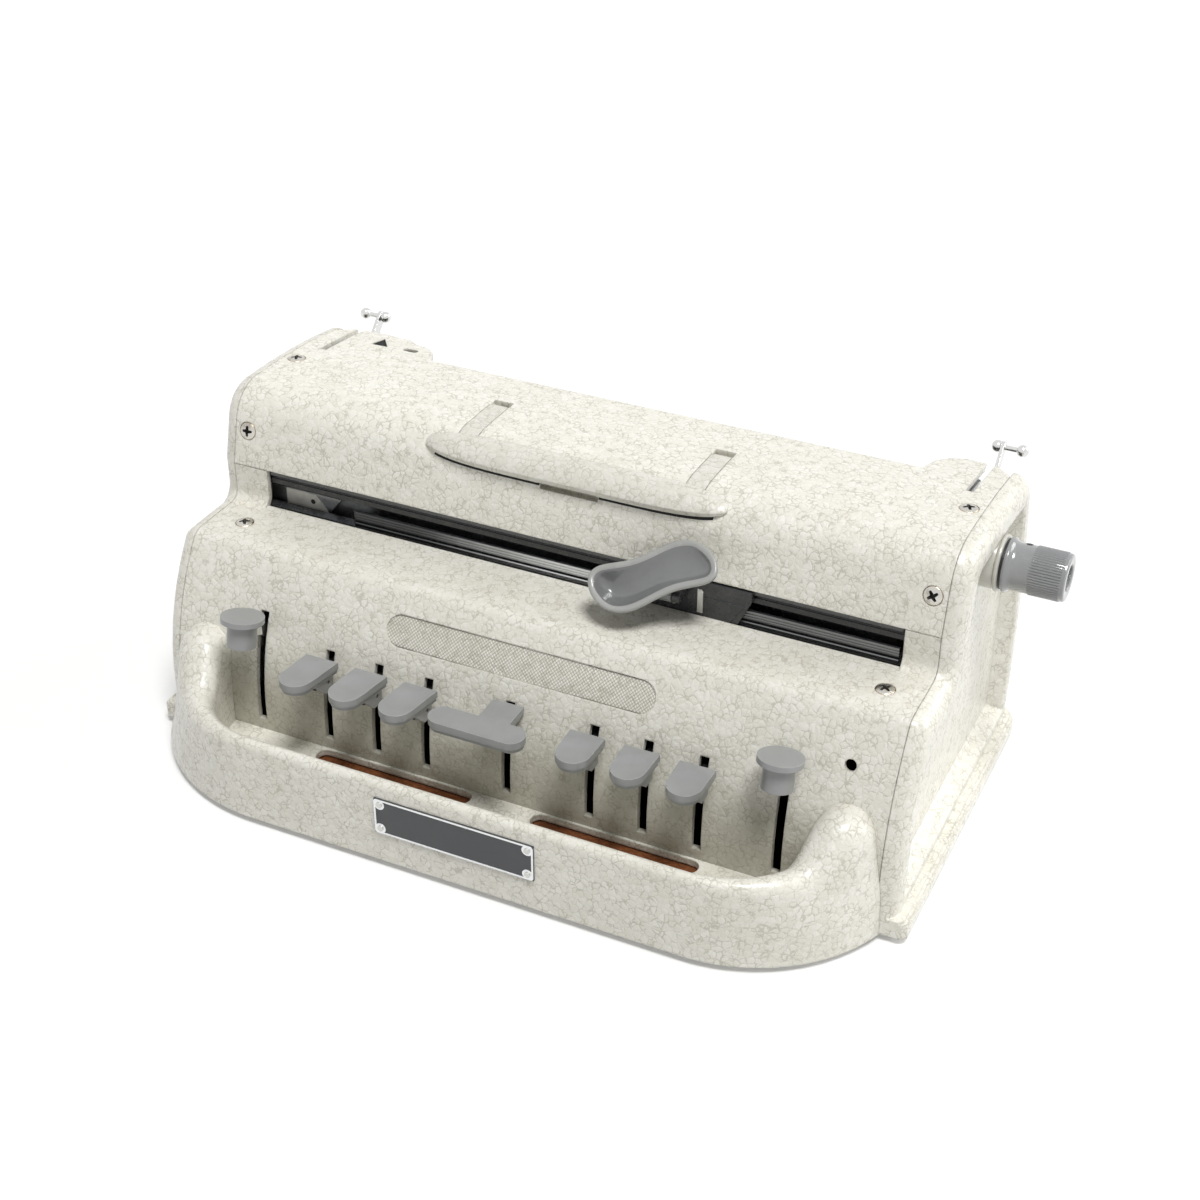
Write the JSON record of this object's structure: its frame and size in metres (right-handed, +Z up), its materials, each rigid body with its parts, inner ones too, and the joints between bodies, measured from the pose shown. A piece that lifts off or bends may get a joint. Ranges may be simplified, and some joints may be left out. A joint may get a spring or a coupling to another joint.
{
  "type": "manual braille writer",
  "caption": "Manual braille writer in hammered grey enamel with grey keys, a carriage slot with a spoon lever, a paper roller with knob and a fold-up carrying handle.",
  "frame": {"origin": "middle of the bounding box's footprint, at the underside of the rubber feet", "axes": "+X to the machine's right, where the feed knob stands out; +Y towards its back; +Z up"},
  "size_m": [0.3678, 0.2134, 0.1394],
  "materials": {
    "hammered_paint": "satin",
    "hardboard": "matte",
    "rubber": "matte",
    "roller_rubber": "matte",
    "plate_black": "satin",
    "bright_steel": "polished",
    "plated_steel": "brushed",
    "black_enamel": "satin",
    "bell_brass": "satin",
    "light_grey_plastic": "satin",
    "key_plastic": "satin",
    "gloss_grey_plastic": "gloss",
    "knob_plastic": "satin"
  },
  "bodies": {
    "casing": {"base_tray": "hammered_paint", "bottom_board": "hardboard", "rubber_feet": "rubber", "front_panel": "hammered_paint", "top_cover": "hammered_paint", "left_side_panel": "hammered_paint", "right_side_panel": "hammered_paint", "rear_panel": "hammered_paint", "casing_screws": "bright_steel", "nameplate": "plate_black", "nameplate_rivets": "bright_steel", "left_frame_plate": "plated_steel", "right_frame_plate": "plated_steel", "key_lever_shaft": "plated_steel", "key_springs": "plated_steel", "upper_rail": "black_enamel", "lower_rail": "black_enamel", "carriage_rod": "plated_steel", "escapement_rack": "plated_steel", "mainspring_drum": "black_enamel", "bell": "bell_brass", "paper_table": "black_enamel", "margin_rack": "plated_steel", "knob_collar": "light_grey_plastic"},
    "dot_1_key": {"dot_1_keycap": "key_plastic", "dot_1_lever": "black_enamel"},
    "dot_1_rise": {"dot_1_bar": "plated_steel"},
    "dot_2_key": {"dot_2_keycap": "key_plastic", "dot_2_lever": "black_enamel"},
    "dot_2_rise": {"dot_2_bar": "plated_steel"},
    "dot_3_key": {"dot_3_keycap": "key_plastic", "dot_3_lever": "black_enamel"},
    "dot_3_rise": {"dot_3_bar": "plated_steel"},
    "dot_4_key": {"dot_4_keycap": "key_plastic", "dot_4_lever": "black_enamel"},
    "dot_4_rise": {"dot_4_bar": "plated_steel"},
    "dot_5_key": {"dot_5_keycap": "key_plastic", "dot_5_lever": "black_enamel"},
    "dot_5_rise": {"dot_5_bar": "plated_steel"},
    "dot_6_key": {"dot_6_keycap": "key_plastic", "dot_6_lever": "black_enamel"},
    "dot_6_rise": {"dot_6_bar": "plated_steel"},
    "space_key": {"spacebar": "key_plastic", "space_lever": "black_enamel"},
    "line_space_key": {"line_space_keycap": "key_plastic", "line_space_lever": "black_enamel"},
    "backspace_key": {"backspace_keycap": "key_plastic", "backspace_lever": "black_enamel"},
    "carriage": {"carriage_body": "black_enamel", "stylus_block": "plated_steel"},
    "head_lever_arm": {"head_lever": "gloss_grey_plastic"},
    "roller": {"feed_roller": "roller_rubber", "paper_knob": "knob_plastic", "ratchet_wheel": "plated_steel"},
    "handle": {"carrying_handle": "hammered_paint"},
    "left_release": {"left_release_lever": "bright_steel"},
    "right_release": {"right_release_lever": "bright_steel"},
    "left_stop": {"left_margin_stop": "plated_steel"},
    "right_stop": {"right_margin_stop": "plated_steel"},
    "rest": {"reading_rest": "black_enamel"}
  },
  "joints": [
    {"name": "dot_1_press", "type": "hinge", "parent": "casing", "child": "dot_1_key", "pos_m": [-0.0492, -0.00534, 0.023], "axis": [1, 0, 0], "range_deg": [0, 9], "stiffness_Nm_per_rad": 0.6, "springref_deg": -8.59},
    {"name": "dot_1_lift", "type": "slide", "parent": "casing", "child": "dot_1_rise", "axis": [0, 0, 1], "range_m": [0, 0.0046]},
    {"name": "dot_2_press", "type": "hinge", "parent": "casing", "child": "dot_2_key", "pos_m": [-0.0727, -0.00534, 0.023], "axis": [1, 0, 0], "range_deg": [0, 9], "stiffness_Nm_per_rad": 0.6, "springref_deg": -8.59},
    {"name": "dot_2_lift", "type": "slide", "parent": "casing", "child": "dot_2_rise", "axis": [0, 0, 1], "range_m": [0, 0.0046]},
    {"name": "dot_3_press", "type": "hinge", "parent": "casing", "child": "dot_3_key", "pos_m": [-0.0962, -0.00534, 0.023], "axis": [1, 0, 0], "range_deg": [0, 9], "stiffness_Nm_per_rad": 0.6, "springref_deg": -8.59},
    {"name": "dot_3_lift", "type": "slide", "parent": "casing", "child": "dot_3_rise", "axis": [0, 0, 1], "range_m": [0, 0.0046]},
    {"name": "dot_4_press", "type": "hinge", "parent": "casing", "child": "dot_4_key", "pos_m": [0.026, -0.00534, 0.023], "axis": [1, 0, 0], "range_deg": [0, 9], "stiffness_Nm_per_rad": 0.6, "springref_deg": -8.59},
    {"name": "dot_4_lift", "type": "slide", "parent": "casing", "child": "dot_4_rise", "axis": [0, 0, 1], "range_m": [0, 0.0046]},
    {"name": "dot_5_press", "type": "hinge", "parent": "casing", "child": "dot_5_key", "pos_m": [0.0495, -0.00534, 0.023], "axis": [1, 0, 0], "range_deg": [0, 9], "stiffness_Nm_per_rad": 0.6, "springref_deg": -8.59},
    {"name": "dot_5_lift", "type": "slide", "parent": "casing", "child": "dot_5_rise", "axis": [0, 0, 1], "range_m": [0, 0.0046]},
    {"name": "dot_6_press", "type": "hinge", "parent": "casing", "child": "dot_6_key", "pos_m": [0.073, -0.00534, 0.023], "axis": [1, 0, 0], "range_deg": [0, 9], "stiffness_Nm_per_rad": 0.6, "springref_deg": -8.59},
    {"name": "dot_6_lift", "type": "slide", "parent": "casing", "child": "dot_6_rise", "axis": [0, 0, 1], "range_m": [0, 0.0046]},
    {"name": "space_press", "type": "hinge", "parent": "casing", "child": "space_key", "pos_m": [-0.0116, -0.00534, 0.023], "axis": [1, 0, 0], "range_deg": [0, 9], "stiffness_Nm_per_rad": 0.6, "springref_deg": -8.59},
    {"name": "line_space_press", "type": "hinge", "parent": "casing", "child": "line_space_key", "pos_m": [-0.1299, -0.00534, 0.023], "axis": [1, 0, 0], "range_deg": [0, 9], "stiffness_Nm_per_rad": 0.6, "springref_deg": -8.59},
    {"name": "backspace_press", "type": "hinge", "parent": "casing", "child": "backspace_key", "pos_m": [0.1067, -0.00534, 0.023], "axis": [1, 0, 0], "range_deg": [0, 9], "stiffness_Nm_per_rad": 0.6, "springref_deg": -8.59},
    {"name": "carriage_travel", "type": "slide", "parent": "casing", "child": "carriage", "axis": [1, 0, 0], "range_m": [-0.178, 0.058]},
    {"name": "head_lever_press", "type": "hinge", "parent": "carriage", "child": "head_lever_arm", "pos_m": [0.0354, -0.01474, 0.1016], "axis": [1, 0, 0], "range_deg": [0, 8], "stiffness_Nm_per_rad": 0.06, "springref_deg": -8.59},
    {"name": "roller_turn", "type": "hinge", "parent": "casing", "child": "roller", "pos_m": [-0.0116, 0.04246, 0.1155], "axis": [1, 0, 0], "continuous": true},
    {"name": "handle_fold", "type": "hinge", "parent": "casing", "child": "handle", "pos_m": [-0.0116, 0.03766, 0.13568], "axis": [-1, 0, 0], "range_deg": [0, 75]},
    {"name": "left_release_swing", "type": "hinge", "parent": "casing", "child": "left_release", "pos_m": [-0.1613, 0.07466, 0.103], "axis": [1, 0, 0], "range_deg": [0, 60]},
    {"name": "right_release_swing", "type": "hinge", "parent": "casing", "child": "right_release", "pos_m": [0.1381, 0.07466, 0.103], "axis": [1, 0, 0], "range_deg": [0, 60]},
    {"name": "left_stop_travel", "type": "slide", "parent": "casing", "child": "left_stop", "axis": [1, 0, 0], "range_m": [-0.04, 0.08]},
    {"name": "right_stop_travel", "type": "slide", "parent": "casing", "child": "right_stop", "axis": [1, 0, 0], "range_m": [-0.08, 0.04]},
    {"name": "rest_fold", "type": "hinge", "parent": "casing", "child": "rest", "pos_m": [-0.0116, 0.10186, 0.095], "axis": [1, 0, 0], "range_deg": [0, 100]}
  ],
  "couplings": [
    {"joint": "dot_1_lift", "follows": "dot_1_press", "m_per_rad": 0.0145},
    {"joint": "dot_2_lift", "follows": "dot_2_press", "m_per_rad": 0.0167},
    {"joint": "dot_3_lift", "follows": "dot_3_press", "m_per_rad": 0.0189},
    {"joint": "dot_4_lift", "follows": "dot_4_press", "m_per_rad": 0.0211},
    {"joint": "dot_5_lift", "follows": "dot_5_press", "m_per_rad": 0.0233},
    {"joint": "dot_6_lift", "follows": "dot_6_press", "m_per_rad": 0.0255}
  ]
}
